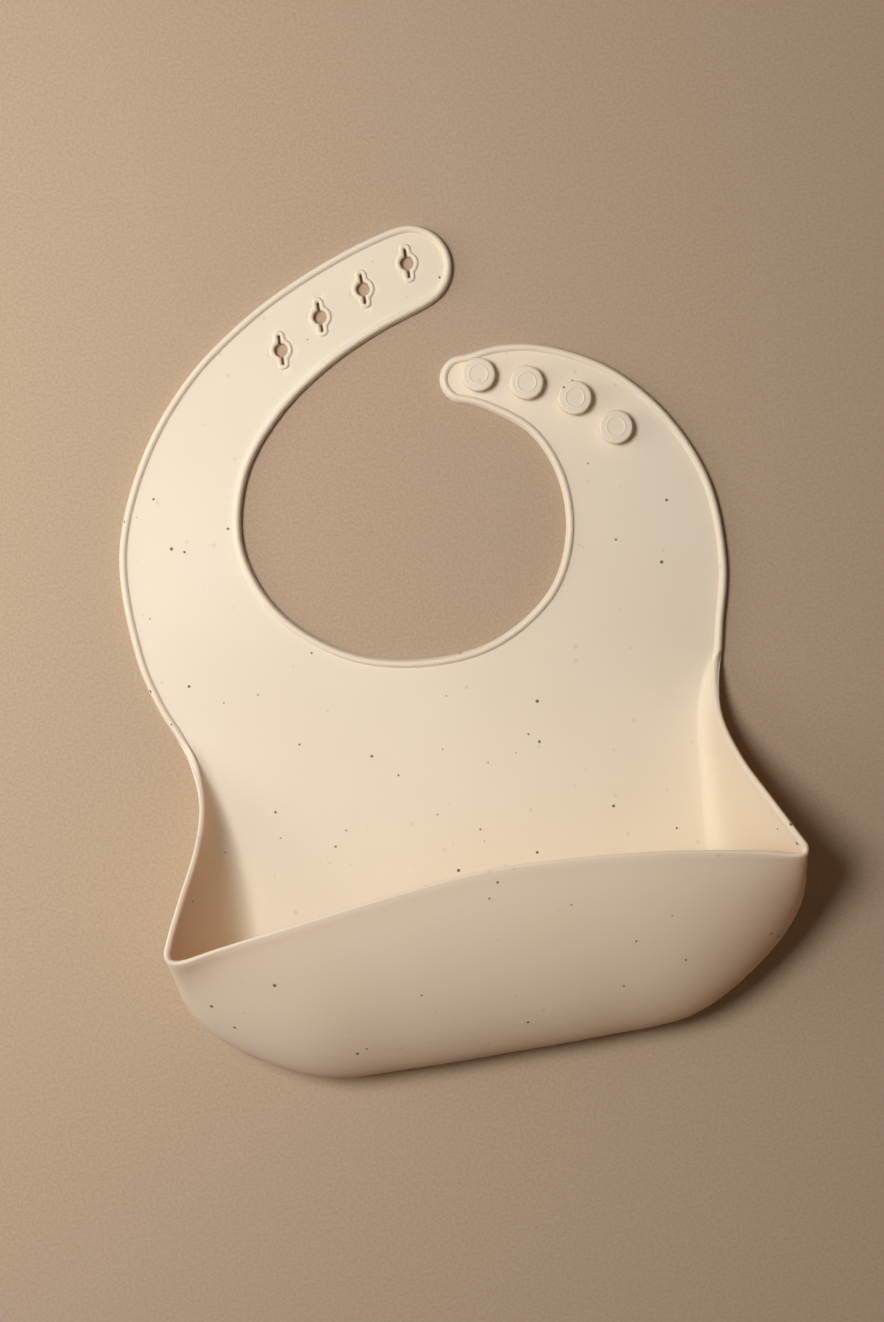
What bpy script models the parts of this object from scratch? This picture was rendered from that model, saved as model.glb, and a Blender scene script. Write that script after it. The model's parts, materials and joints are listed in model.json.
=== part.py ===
"""A silicone baby bib with a catch pocket, lying on its back.

The bib lies in the XY plane with its back at z = 0 and its front facing +Z. +Y points from the
pocket to the straps. The origin is on the back of the chest panel, on the body's centre line.
Lengths in this script are millimetres, and every mesh is scaled to metres when it is made.
"""

import math

import bmesh
import bpy
from mathutils import Matrix, Vector

MM = 0.001

# Sheet and edge bead
SHEET = 2.0
BEAD_WIDTH = 3.0
BEAD_SPRING = 1.8
BEAD_RADIUS = BEAD_WIDTH / 2
BEAD_TOP = BEAD_SPRING + BEAD_RADIUS
GAP = 0.3
BASE_GAP = 0.6
RIM_RADIUS = 1.25
RIM_GAP = 1.0
EDGE_STEP = 7.0

# Hinge lines, where the soft sheet bends
FOLD_Y = 41.8
SHOULDER_Y = 80.0
STUD_HINGE_Y = 113.0
SLOT_HINGE_BEARING = 140.0
HINGE_Z = BEAD_TOP + 0.1
FLOOR_SPLIT_Y = -15.0
FRONT_HINGE = Vector((0.0, -81.4, 13.0))
FRONT_GAP = 1.5

# Edges as bearing and radius about the centre of the neck opening
NECK = Vector((-4.5, 110.0))
STUD_SIDE_EDGE = ((-30, 119.0), (-20, 114.6), (-5, 107.2), (10, 97.1), (25, 86.1), (40, 74.0), (50, 65.4))
STUD_CAP_CENTRE = Vector((27.3, 40.6))
STUD_CAP_RADIUS = 8.4
STUD_CAP_TURN = (80, 262)
NECK_EDGE = (
    (40, 44.4), (20, 50.6), (0, 54.5), (-20, 57.3), (-40, 58.7), (-65, 57.1), (-90, 55.0),
    (-120, 55.9), (-150, 58.7), (-175, 59.8), (-200, 57.5), (-225, 54.9), (-250, 56.2), (-270, 61.9),
)
SLOT_CAP_CENTRE = Vector((15.0, 82.6))
SLOT_CAP_RADIUS = 14.7
SLOT_CAP_TURN = (-66, 90)
SLOT_SIDE_EDGE = (
    (90, 94.1), (105, 88.8), (120, 87.2), (140, 89.4), (160, 94.8), (180, 102.8), (200, 109.6), (210, 113.5),
)
POCKET_START = Vector((96.5, 41.0))

# Right half of the pocket, from its start to the middle: base line, outer handle, rim, handle height
POCKET_STATIONS = (
    ((93.2, 41.0), (94.5, 41.0), (95.0, 41.0, 1.8), 0.6),
    ((87.5, 20.0), (91.0, 19.0), (91.5, 21.5, 11.0), 0.6),
    ((84.5, 0.0), (94.0, 0.0), (93.5, 6.0, 25.0), 0.6),
    ((83.0, -18.0), (100.0, -21.0), (99.0, -9.0, 38.0), 0.65),
    ((81.3, -29.0), (104.5, -36.0), (103.6, -21.0, 45.5), 0.75),
    ((80.0, -35.0), (106.3, -45.0), (105.2, -25.8, 47.6), 0.85),
    ((78.0, -41.0), (106.5, -53.0), (102.0, -27.4, 48.0), 0.95),
    ((71.0, -51.5), (101.0, -67.0), (90.4, -25.6, 47.8), 1.0),
    ((50.0, -63.5), (68.0, -91.3), (60.0, -21.0, 46.8), 1.0),
    ((25.0, -67.3), (34.0, -94.0), (30.0, -18.0, 45.5), 1.0),
)
POCKET_MIDDLE = ((0.0, -68.0), (0.0, -94.0), (0.0, -17.0, 45.0), 1.0)
LAST_STATION = 2 * len(POCKET_STATIONS)
FRONT_FIRST_STATION = 8
FRONT_LAST_STATION = LAST_STATION - FRONT_FIRST_STATION
FRONT_SEAM = 0.006
GUSSET_FIRST_STATION = 0.6
PARTING_HEIGHT = FRONT_HINGE.z

# Keyhole slots and their collars
SLOT_PLACES = ((14.2, 84.1), (-2.6, 77.7), (-19.2, 70.5), (-34.7, 61.3))
KEYHOLE_RADIUS = 2.4
SLIT_HALF_WIDTH = 0.5
SLIT_HALF_LENGTH = 5.3
COLLAR_WALL = 1.6
COLLAR_HEIGHT = 0.8

# Mushroom studs
STUD_PLACES = ((32.3, 40.7), (48.5, 35.1), (64.3, 27.0), (76.8, 14.5))
STUD_HEAD_RADIUS = 6.0
STUD_STEM_RADIUS = 3.0
STUD_UNDERSIDE = 4.0
STUD_TOP = 6.5
STUD_ROUNDING = 1.0
STUD_BEVEL = 0.4


def polar(bearing, radius):
    """The plan point at this bearing in degrees and radius about the neck centre."""
    angle = math.radians(bearing)
    return NECK + radius * Vector((math.cos(angle), math.sin(angle)))


def round_end(centre, radius, turn):
    """Points round the end of a tab, its centre measured from the neck centre."""
    first, last = turn
    points = []
    for k in range(7):
        angle = math.radians(first + (last - first) * k / 6)
        points.append(NECK + centre + radius * Vector((math.cos(angle), math.sin(angle))))
    return points


def smooth_curve(knots, points):
    """A function of one parameter that passes through each point at its knot, without kinks."""
    slopes = [
        (points[i + 1] - points[i]) / (knots[i + 1] - knots[i]) for i in range(len(points) - 1)
    ]
    tangents = [slopes[0]]
    for i in range(1, len(slopes)):
        before = knots[i] - knots[i - 1]
        after = knots[i + 1] - knots[i]
        tangents.append((slopes[i - 1] * after + slopes[i] * before) / (before + after))
    tangents.append(slopes[-1])

    def at(t):
        i = max(j for j in range(len(slopes)) if j == 0 or knots[j] <= t)
        span = knots[i + 1] - knots[i]
        s = (t - knots[i]) / span
        start = (1 + 2 * s) * (1 - s) ** 2 * points[i] + s * (1 - s) ** 2 * span * tangents[i]
        end = s * s * (3 - 2 * s) * points[i + 1] + s * s * (s - 1) * span * tangents[i + 1]
        return start + end

    return at


def chord_knots(points):
    knots = [0.0]
    for a, b in zip(points, points[1:]):
        knots.append(knots[-1] + math.sqrt((b - a).length))
    return knots


def evenly(points, step):
    """The same path with its points this far apart."""
    lengths = [0.0]
    for a, b in zip(points, points[1:]):
        lengths.append(lengths[-1] + (b - a).length)
    count = max(2, round(lengths[-1] / step))
    path = []
    i = 0
    for k in range(count + 1):
        want = lengths[-1] * k / count
        while i < len(points) - 2 and lengths[i + 1] < want:
            i += 1
        share = (want - lengths[i]) / (lengths[i + 1] - lengths[i])
        path.append(points[i].lerp(points[i + 1], min(1.0, share)))
    return path


def edge_path():
    """The bib's edge from the pocket's right start, over both straps, to its left start."""
    points = [POCKET_START.copy()]
    points += [polar(*place) for place in STUD_SIDE_EDGE]
    points += round_end(STUD_CAP_CENTRE, STUD_CAP_RADIUS, STUD_CAP_TURN)
    points += [polar(*place) for place in NECK_EDGE]
    points += round_end(SLOT_CAP_CENTRE, SLOT_CAP_RADIUS, SLOT_CAP_TURN)
    points += [polar(*place) for place in SLOT_SIDE_EDGE]
    points.append(Vector((-POCKET_START.x, POCKET_START.y)))
    knots = chord_knots(points)
    at = smooth_curve(knots, points)
    fine = [at(knots[-1] * k / 2000) for k in range(2001)]
    return evenly(fine, EDGE_STEP)


def inward_normals(path):
    """Unit vectors that point from the edge into the sheet, which lies to the left of the path."""
    normals = []
    for i in range(len(path)):
        along = path[min(i + 1, len(path) - 1)] - path[max(i - 1, 0)]
        normals.append(Vector((-along.y, along.x)).normalized())
    return normals


def pocket_stations():
    """All stations from right to left, each as base, lower handle, upper handle and rim."""
    right = list(POCKET_STATIONS)
    mirrored = [
        ((-base[0], base[1]), (-handle[0], handle[1]), (-rim[0], rim[1], rim[2]), rise)
        for base, handle, rim, rise in reversed(right)
    ]
    stations = []
    for base, handle, rim, rise in right + [POCKET_MIDDLE] + mirrored:
        lower = Vector((handle[0], handle[1], 0.0))
        upper = Vector((handle[0], handle[1], rise * rim[2]))
        stations.append((Vector((base[0], base[1], 0.0)), lower, upper, Vector(rim)))
    return stations


def pocket_surface():
    """The outer face of the pocket as a function of station number and height share."""
    stations = pocket_stations()
    lows = [station[1] for station in stations]
    knots = chord_knots(lows)
    curves = [smooth_curve(knots, [station[row] for station in stations]) for row in range(4)]

    def at(station, v):
        i = min(int(station), len(knots) - 2)
        t = knots[i] + (station - i) * (knots[i + 1] - knots[i])
        base, lower, upper, rim = (curve(t) for curve in curves)
        return (
            (1 - v) ** 3 * base
            + 3 * v * (1 - v) ** 2 * lower
            + 3 * v * v * (1 - v) * upper
            + v ** 3 * rim
        )

    return at


def share_at_height(surface, station, height):
    """How far up the section the pocket wall reaches this height."""
    low, high = 0.0, 1.0
    for _ in range(30):
        middle = (low + high) / 2
        if surface(station, middle).z < height:
            low = middle
        else:
            high = middle
    return low


def share_below_rim(surface, station, distance):
    """The height share this far below the rim along the section."""
    v = 1.0
    walked = 0.0
    while walked < distance:
        walked += (surface(station, v - 0.002) - surface(station, v)).length
        v -= 0.002
    return v


def skin_points(surface, s, v):
    """The outer point of the pocket wall and the inner one, a sheet's thickness away."""
    along = surface(min(s + 0.02, LAST_STATION), v) - surface(max(s - 0.02, 0), v)
    up = surface(s, min(v + 0.01, 1)) - surface(s, max(v - 0.01, 0))
    outer = surface(s, v)
    return outer, outer + along.cross(up).normalized() * SHEET


def share_clear_of_sheet(surface, s):
    """The lowest height share from which the wall stands clear of the flat sheet's edge."""
    base = surface(s, 0)
    along = surface(min(s + 0.05, LAST_STATION), 0) - surface(max(s - 0.05, 0), 0)
    outward = Vector((-along.y, along.x, 0)).normalized()
    if outward.dot(surface(s, 0.1) - base) < 0:
        outward.negate()
    share = 0.0
    for k in range(90):
        for point in skin_points(surface, s, k / 150):
            if point.z < SHEET + GAP and (point - base).dot(outward) < BASE_GAP:
                share = k / 150
    return share


def station_range(first, last, count):
    return [first + (last - first) * k / count for k in range(count + 1)]


# Mesh building ---------------------------------------------------------------------------------


def silicone(name, shade):
    material = bpy.data.materials.new(name)
    material.use_nodes = True
    shader = material.node_tree.nodes["Principled BSDF"]
    shader.inputs["Base Color"].default_value = (0.80 * shade, 0.66 * shade, 0.52 * shade, 1.0)
    shader.inputs["Roughness"].default_value = 0.55
    shader.inputs["Metallic"].default_value = 0.0
    material.diffuse_color = (0.80 * shade, 0.66 * shade, 0.52 * shade, 1.0)
    return material


def add_piece(name, bm, body, shade=1.0):
    """Makes the object from a bmesh in millimetres, with its origin on its body's pivot."""
    bmesh.ops.recalc_face_normals(bm, faces=bm.faces)
    pivot = body.location / MM
    bmesh.ops.translate(bm, verts=bm.verts, vec=-pivot)
    bmesh.ops.transform(bm, matrix=Matrix.Scale(MM, 4), verts=bm.verts)
    mesh = bpy.data.meshes.new(name)
    bm.to_mesh(mesh)
    bm.free()
    mesh.shade_smooth()
    mesh.set_sharp_from_angle(angle=math.radians(40))
    mesh.materials.append(silicone(name + "_silicone", shade))
    piece = bpy.data.objects.new(name, mesh)
    bpy.context.scene.collection.objects.link(piece)
    piece.parent = body
    return piece


def add_body(name, pivot, parent=None):
    """An empty on the joint's axis, which carries the pieces of one body."""
    body = bpy.data.objects.new(name + "_pivot", None)
    body.empty_display_size = 0.01
    bpy.context.scene.collection.objects.link(body)
    body.location = pivot * MM
    if parent is not None:
        bpy.context.view_layer.update()
        body.parent = parent
        body.matrix_parent_inverse = parent.matrix_world.inverted()
    return body


def plate(outline, bottom, top):
    bm = bmesh.new()
    face = bm.faces.new([bm.verts.new((p.x, p.y, bottom)) for p in outline])
    raised = bmesh.ops.extrude_face_region(bm, geom=[face])["geom"]
    moved = [v for v in raised if isinstance(v, bmesh.types.BMVert)]
    bmesh.ops.translate(bm, verts=moved, vec=(0, 0, top - bottom))
    return bm


def loft(rings):
    """A closed body through rings of equal point count, capped at both ends."""
    bm = bmesh.new()
    rows = [[bm.verts.new(p) for p in ring] for ring in rings]
    size = len(rows[0])
    for a, b in zip(rows, rows[1:]):
        for i in range(size):
            j = (i + 1) % size
            bm.faces.new((a[i], a[j], b[j], b[i]))
    bm.faces.new(rows[0])
    bm.faces.new(list(reversed(rows[-1])))
    return bm


def trim(bm, planes):
    """Keeps what lies on the side of each plane that its normal points to, and closes the cuts."""
    for point, normal in planes:
        everything = list(bm.verts) + list(bm.edges) + list(bm.faces)
        bmesh.ops.bisect_plane(
            bm, geom=everything, dist=1e-5, plane_co=point, plane_no=normal, clear_inner=True
        )
        open_edges = [edge for edge in bm.edges if edge.is_boundary]
        bmesh.ops.holes_fill(bm, edges=open_edges, sides=0)
    return bm


def above_y(y):
    return (Vector((0, y + GAP / 2, 0)), Vector((0, 1, 0)))


def below_y(y):
    return (Vector((0, y - GAP / 2, 0)), Vector((0, -1, 0)))


def slot_hinge_plane(side):
    """The cut on the slot tab's hinge line: side +1 keeps the tab, -1 keeps the strap."""
    angle = math.radians(SLOT_HINGE_BEARING)
    toward_tab = Vector((math.sin(angle), -math.cos(angle), 0)) * side
    return (NECK.to_3d() + toward_tab * GAP / 2, toward_tab)


# Between the two straps, a line that passes above the stud tab and below the slot tab
DIVIDER = (NECK.to_3d() + Vector((-30, 30, 0)), Vector((-50, 90, 0)).normalized())


# Sub-parts ---------------------------------------------------------------------------------------


def sheet_outline(path, surface):
    """The flat sheet inside the edge bead, closed below by the pocket's base line."""
    inset = BEAD_WIDTH + GAP
    outline = [p + n * inset for p, n in zip(path, inward_normals(path))]
    base = [surface(s, 0.0).to_2d() for s in station_range(LAST_STATION, 0, 80)]
    return outline + base[1:-1]


def bead_profile():
    """Offset from the edge and height of each point of the half-round edge bead."""
    profile = [(BEAD_WIDTH, 0.0), (0.0, 0.0)]
    for k in range(6):
        angle = math.pi * k / 5
        profile.append((BEAD_RADIUS * (1 - math.cos(angle)), BEAD_SPRING + BEAD_RADIUS * math.sin(angle)))
    return profile


def bead(path, normals, first, last, planes):
    """The edge bead between two points of the path, trimmed to the hinge planes."""
    profile = bead_profile()
    rings = []
    for i in range(max(0, first - 1), min(len(path), last + 2)):
        rings.append([(path[i] + normals[i] * offset).to_3d() + Vector((0, 0, z)) for offset, z in profile])
    return trim(loft(rings), planes)


def crossings(path, point, normal):
    """Where the path changes side of a line, as the index just before each crossing."""
    sides = [(p - point.to_2d()).dot(normal.to_2d()) > 0 for p in path]
    return [i for i in range(len(path) - 1) if sides[i] != sides[i + 1]]


def pocket_skin(surface, stations, shares):
    """A wall of sheet thickness on the inside of the pocket's outer face.

    shares gives the lowest and highest height share at a station."""
    rows = 6
    faces_out = []
    for s in stations:
        low, high = shares(s)
        faces_out.append([(s, low + (high - low) * k / rows) for k in range(rows + 1)])
    bm = bmesh.new()
    outer = []
    inner = []
    for column in faces_out:
        outer_column = []
        inner_column = []
        for s, v in column:
            outer_point, inner_point = skin_points(surface, s, v)
            outer_column.append(bm.verts.new(outer_point))
            inner_column.append(bm.verts.new(inner_point))
        outer.append(outer_column)
        inner.append(inner_column)
    for grid in (outer, inner):
        for a, b in zip(grid, grid[1:]):
            for k in range(rows):
                bm.faces.new((a[k], a[k + 1], b[k + 1], b[k]))
    for a, b in ((outer[0], inner[0]), (outer[-1], inner[-1])):
        for k in range(rows):
            bm.faces.new((a[k], a[k + 1], b[k + 1], b[k]))
    for k in (0, rows):
        for i in range(len(outer) - 1):
            bm.faces.new((outer[i][k], outer[i + 1][k], inner[i + 1][k], inner[i][k]))
    return bm


def tube(path, radius, sides=8):
    """A round bar along a path in space, with its sections square to the path."""
    rings = []
    for i, centre in enumerate(path):
        along = (path[min(i + 1, len(path) - 1)] - path[max(i - 1, 0)]).normalized()
        across = along.cross(Vector((0, 0, 1))).normalized()
        up = across.cross(along)
        ring = []
        for k in range(sides):
            angle = 2 * math.pi * (k + 0.5) / sides
            ring.append(centre + radius * (math.cos(angle) * across + math.sin(angle) * up))
        rings.append(ring)
    return loft(rings)


def rim_path(surface, first, last):
    points = [surface(s, 1.0) for s in station_range(first, last, 200)]
    return evenly(points, 5.0)


def keyhole(offset):
    """The keyhole outline grown by this offset: a round hole with a slit above and below."""
    radius = KEYHOLE_RADIUS + offset
    half_width = SLIT_HALF_WIDTH + offset
    half_length = SLIT_HALF_LENGTH + offset
    meeting = math.acos(half_width / radius)
    outline = []
    for turn in (0.0, math.pi):
        for k in range(7):
            angle = turn - meeting + 2 * meeting * k / 6
            outline.append(Vector((radius * math.cos(angle), radius * math.sin(angle))))
        end = Vector((0, half_length - half_width)) * math.cos(turn)
        for k in range(1, 6):
            angle = turn + math.pi * k / 6
            outline.append(end + half_width * Vector((math.cos(angle), math.sin(angle))))
    return outline


def collar(centre):
    """A raised frame round one keyhole slot."""
    bottom = SHEET + GAP
    top = SHEET + GAP + COLLAR_HEIGHT
    bm = bmesh.new()
    loops = []
    for offset, z in ((0.0, bottom), (COLLAR_WALL, bottom), (COLLAR_WALL, top), (0.0, top)):
        loops.append([bm.verts.new((centre + p).to_3d() + Vector((0, 0, z))) for p in keyhole(offset)])
    size = len(loops[0])
    for a, b in zip(loops, loops[1:] + loops[:1]):
        for i in range(size):
            j = (i + 1) % size
            bm.faces.new((a[i], a[j], b[j], b[i]))
    return bm


def stud(centre):
    """A mushroom stud: a stem with a flat round head."""
    profile = [
        (STUD_STEM_RADIUS, SHEET + GAP),
        (STUD_STEM_RADIUS, STUD_UNDERSIDE),
        (STUD_HEAD_RADIUS - STUD_BEVEL, STUD_UNDERSIDE),
    ]
    for k in range(4):
        angle = math.pi / 2 * k / 3
        profile.append((
            STUD_HEAD_RADIUS - STUD_ROUNDING * (1 - math.cos(angle)),
            STUD_TOP - STUD_ROUNDING * (1 - math.sin(angle)),
        ))
    rings = []
    for radius, z in profile:
        ring = []
        for k in range(24):
            angle = 2 * math.pi * k / 24
            ring.append(Vector((centre.x + radius * math.cos(angle), centre.y + radius * math.sin(angle), z)))
        rings.append(ring)
    return loft(rings)


def slot_tab_web(outline, body):
    """The slot tab's sheet with its four keyhole slots cut through."""
    web = add_piece("slot_tab_web", trim(plate(outline, 0.0, SHEET), [DIVIDER, slot_hinge_plane(1)]), body)
    for number, place in enumerate(SLOT_PLACES, 1):
        outline_here = [NECK + Vector(place) + p for p in keyhole(0.0)]
        cutter = add_piece(f"slot_cutter_{number}", plate(outline_here, -1.0, SHEET + 1.0), body)
        cutter.hide_render = True
        cutter.display_type = "WIRE"
        cut = web.modifiers.new(f"slot_{number}", "BOOLEAN")
        cut.operation = "DIFFERENCE"
        cut.solver = "EXACT"
        cut.object = cutter


def main():
    for thing in list(bpy.data.objects):
        bpy.data.objects.remove(thing)
    path = edge_path()
    normals = inward_normals(path)
    surface = pocket_surface()
    outline = sheet_outline(path, surface)

    slot_pivot = polar(SLOT_HINGE_BEARING, 72.0).to_3d() + Vector((0, 0, HINGE_Z))
    root = add_body("pocket_panel", Vector((0, 0, 0)))
    yoke = add_body("yoke", Vector((0, FOLD_Y, HINGE_Z)), root)
    slot_strap = add_body("slot_strap", Vector((-84.0, SHOULDER_Y, HINGE_Z)), yoke)
    slot_tab = add_body("slot_tab", slot_pivot, slot_strap)
    stud_strap = add_body("stud_strap", Vector((76.0, SHOULDER_Y, HINGE_Z)), yoke)
    stud_tab = add_body("stud_tab", Vector((74.0, STUD_HINGE_Y, HINGE_Z)), stud_strap)
    front = add_body("pocket_front", FRONT_HINGE, root)

    def web(name, body, planes, shade=1.0):
        add_piece(name, trim(plate(outline, 0.0, SHEET), planes), body, shade)

    web("chest_panel", root, [below_y(FOLD_Y), above_y(FLOOR_SPLIT_Y)])
    web("pocket_floor", root, [below_y(FLOOR_SPLIT_Y)], 0.97)
    web("yoke_panel", yoke, [above_y(FOLD_Y), below_y(SHOULDER_Y)])
    left_of_neck = (Vector((-20, 0, 0)), Vector((-1, 0, 0)))
    web("slot_strap_web", slot_strap, [left_of_neck, above_y(SHOULDER_Y), slot_hinge_plane(-1)])
    slot_tab_web(outline, slot_tab)
    right_of_neck = (Vector((30, 0, 0)), Vector((1, 0, 0)))
    below_divider = (DIVIDER[0], -DIVIDER[1])
    web("stud_strap_web", stud_strap, [right_of_neck, above_y(SHOULDER_Y), below_y(STUD_HINGE_Y)])
    right_of_axis = (Vector((0, 0, 0)), Vector((1, 0, 0)))
    web("stud_tab_web", stud_tab, [below_divider, above_y(STUD_HINGE_Y), right_of_axis])

    up = Vector((0, 1, 0))
    shoulder = crossings(path, Vector((0, SHOULDER_Y, 0)), up)
    stud_hinge = crossings(path, Vector((0, STUD_HINGE_Y, 0)), up)
    slot_hinge = [i for i in crossings(path, *slot_hinge_plane(1)) if path[i].x < NECK.x - 20]
    fold_right, fold_left = crossings(path, Vector((0, FOLD_Y, 0)), up)

    def edge(name, body, first, last, planes):
        add_piece(name, bead(path, normals, first, last, planes), body, 1.03)

    yoke_planes = [above_y(FOLD_Y), below_y(SHOULDER_Y)]
    edge("yoke_right_bead", yoke, fold_right, shoulder[0], yoke_planes)
    edge("neck_bead", yoke, shoulder[1], shoulder[2], yoke_planes)
    edge("yoke_left_bead", yoke, shoulder[3], fold_left, yoke_planes)
    stud_planes = [above_y(SHOULDER_Y), below_y(STUD_HINGE_Y)]
    edge("stud_strap_outer_bead", stud_strap, shoulder[0], stud_hinge[0], stud_planes)
    edge("stud_strap_inner_bead", stud_strap, stud_hinge[1], shoulder[1], stud_planes)
    edge("stud_tab_bead", stud_tab, stud_hinge[0], stud_hinge[1], [above_y(STUD_HINGE_Y)])
    slot_planes = [above_y(SHOULDER_Y), slot_hinge_plane(-1)]
    edge("slot_strap_inner_bead", slot_strap, shoulder[2], slot_hinge[0], slot_planes)
    edge("slot_strap_outer_bead", slot_strap, slot_hinge[1], shoulder[3], slot_planes)
    edge("slot_tab_bead", slot_tab, slot_hinge[0], slot_hinge[1], [slot_hinge_plane(1)])

    for number, place in enumerate(SLOT_PLACES, 1):
        add_piece(f"slot_collar_{number}", collar(NECK + Vector(place)), slot_tab, 0.98)
    for number, place in enumerate(STUD_PLACES, 1):
        add_piece(f"stud_{number}", stud(NECK + Vector(place)), stud_tab, 1.02)

    def rim_share(s):
        return share_below_rim(surface, s, RIM_RADIUS + RIM_GAP)

    def gusset_shares(s):
        return share_clear_of_sheet(surface, s), rim_share(s)

    def toe_shares(s):
        top = share_at_height(surface, s, PARTING_HEIGHT - FRONT_GAP / 2)
        return share_clear_of_sheet(surface, s), top

    def front_shares(s):
        return share_at_height(surface, s, PARTING_HEIGHT + FRONT_GAP / 2), rim_share(s)

    right = station_range(GUSSET_FIRST_STATION, FRONT_FIRST_STATION - FRONT_SEAM, 20)
    left = [LAST_STATION - s for s in reversed(right)]
    front_range = (FRONT_FIRST_STATION + FRONT_SEAM, FRONT_LAST_STATION - FRONT_SEAM)
    middle = station_range(*front_range, 14)
    add_piece("right_gusset", pocket_skin(surface, right, gusset_shares), root, 0.95)
    add_piece("left_gusset", pocket_skin(surface, left, gusset_shares), root, 0.95)
    add_piece("pocket_toe", pocket_skin(surface, middle, toe_shares), root, 0.93)
    add_piece("pocket_front_wall", pocket_skin(surface, middle, front_shares), front)

    add_piece("pocket_lip_bead", tube(rim_path(surface, *front_range), RIM_RADIUS), front, 1.03)
    right_rim = rim_path(surface, 0.0, FRONT_FIRST_STATION - FRONT_SEAM)
    left_rim = rim_path(surface, LAST_STATION, FRONT_LAST_STATION + FRONT_SEAM)
    add_piece("right_gusset_bead", tube(right_rim, RIM_RADIUS), root, 1.03)
    add_piece("left_gusset_bead", tube(left_rim, RIM_RADIUS), root, 1.03)


main()
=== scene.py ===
"""The looks of a silicone baby bib: one soft moulded skin, cut where the bib bends, with studs and collars.

Lengths are millimetres in the part's own frame until place() turns them into metres.
"""
import json
import math

import bmesh
import bpy
import numpy as np
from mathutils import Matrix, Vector
from mathutils.geometry import delaunay_2d_cdt


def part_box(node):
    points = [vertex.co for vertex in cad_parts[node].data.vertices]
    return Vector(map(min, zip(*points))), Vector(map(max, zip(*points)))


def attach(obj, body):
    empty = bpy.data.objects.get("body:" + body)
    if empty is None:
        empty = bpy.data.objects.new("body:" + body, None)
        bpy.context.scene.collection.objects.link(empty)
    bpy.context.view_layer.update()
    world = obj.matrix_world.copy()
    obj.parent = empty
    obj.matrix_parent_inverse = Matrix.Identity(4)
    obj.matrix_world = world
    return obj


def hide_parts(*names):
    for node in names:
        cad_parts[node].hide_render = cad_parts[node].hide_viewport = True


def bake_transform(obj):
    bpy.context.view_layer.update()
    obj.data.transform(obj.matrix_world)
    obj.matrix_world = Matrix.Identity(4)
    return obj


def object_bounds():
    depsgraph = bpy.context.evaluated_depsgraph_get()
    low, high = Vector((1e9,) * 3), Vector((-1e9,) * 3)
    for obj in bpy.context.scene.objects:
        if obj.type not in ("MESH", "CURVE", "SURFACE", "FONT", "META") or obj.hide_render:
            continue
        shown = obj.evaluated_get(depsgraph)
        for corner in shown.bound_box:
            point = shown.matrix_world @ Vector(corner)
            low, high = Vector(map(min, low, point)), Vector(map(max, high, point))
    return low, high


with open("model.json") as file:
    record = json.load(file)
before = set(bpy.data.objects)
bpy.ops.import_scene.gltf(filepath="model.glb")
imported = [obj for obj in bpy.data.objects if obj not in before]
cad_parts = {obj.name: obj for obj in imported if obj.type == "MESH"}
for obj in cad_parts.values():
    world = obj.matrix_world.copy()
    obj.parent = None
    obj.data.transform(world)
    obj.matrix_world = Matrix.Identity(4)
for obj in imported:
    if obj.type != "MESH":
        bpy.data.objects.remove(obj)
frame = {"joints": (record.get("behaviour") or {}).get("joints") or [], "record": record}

CAD_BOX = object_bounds()

# The size this design is drawn at. The frame's own box scales it, so the two always agree.
DRAWN_LOW = Vector((-108.76, -83.72, 0.0))
DRAWN_HIGH = Vector((105.53, 207.22, 49.17))
MM = 0.001

# Sheet: its thickness, where its flat middle ends, how wide the edge profiles are, and how finely it is drawn
SHEET = 2.0
INSET = 6.0
EDGE_BAND = 3.4
EDGE_STEP = 2.0
WALL_ROWS = 30
WALL_SAMPLES = 161
FILL_STEP = 3.2
SWAY = 0.22

# Edge profiles as depth in from the edge and height above the back, from the front face to the back
STRAP_PROFILE = (
    (3.40, 2.00), (2.78, 1.97), (2.62, 2.01), (2.48, 2.22), (2.30, 2.56), (2.02, 2.90), (1.62, 3.13),
    (1.22, 3.20), (0.80, 3.09), (0.40, 2.78), (0.13, 2.34), (0.00, 1.80), (0.00, 1.18), (-0.30, 1.04),
    (-0.30, 0.92), (0.00, 0.78), (0.06, 0.46), (0.30, 0.14), (0.75, 0.00), (3.40, 0.00),
)
RIM_PROFILE = (
    (3.40, 2.00), (3.05, 2.02), (2.75, 2.05), (2.45, 2.09), (2.15, 2.12), (1.80, 2.14), (1.45, 2.13),
    (1.10, 2.07), (0.78, 1.95), (0.48, 1.76), (0.24, 1.52), (0.08, 1.24), (0.01, 1.06), (-0.02, 1.00),
    (-0.02, 0.94), (0.01, 0.84), (0.12, 0.52), (0.38, 0.22), (0.80, 0.03), (3.40, 0.00),
)

# Edges as bearing and radius about the centre of the neck opening
NECK = Vector((-4.5, 110.0))
STUD_SIDE_EDGE = ((-30, 119.0), (-20, 114.6), (-5, 107.2), (10, 97.1), (25, 86.1), (40, 74.0), (50, 65.4))
STUD_CAP = (Vector((27.3, 40.6)), 8.4, 80, 262)
NECK_EDGE = (
    (40, 44.4), (20, 50.6), (0, 54.5), (-20, 57.3), (-40, 58.7), (-65, 57.1), (-90, 55.0),
    (-120, 55.9), (-150, 58.7), (-175, 59.8), (-200, 57.5), (-225, 54.9), (-250, 56.2), (-270, 61.9),
)
SLOT_CAP = (Vector((15.0, 82.6)), 14.7, -66, 90)
SLOT_SIDE_EDGE = (
    (90, 94.1), (105, 88.8), (120, 87.2), (140, 89.4), (160, 94.8), (180, 102.8), (200, 109.6), (210, 113.5),
)

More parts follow.
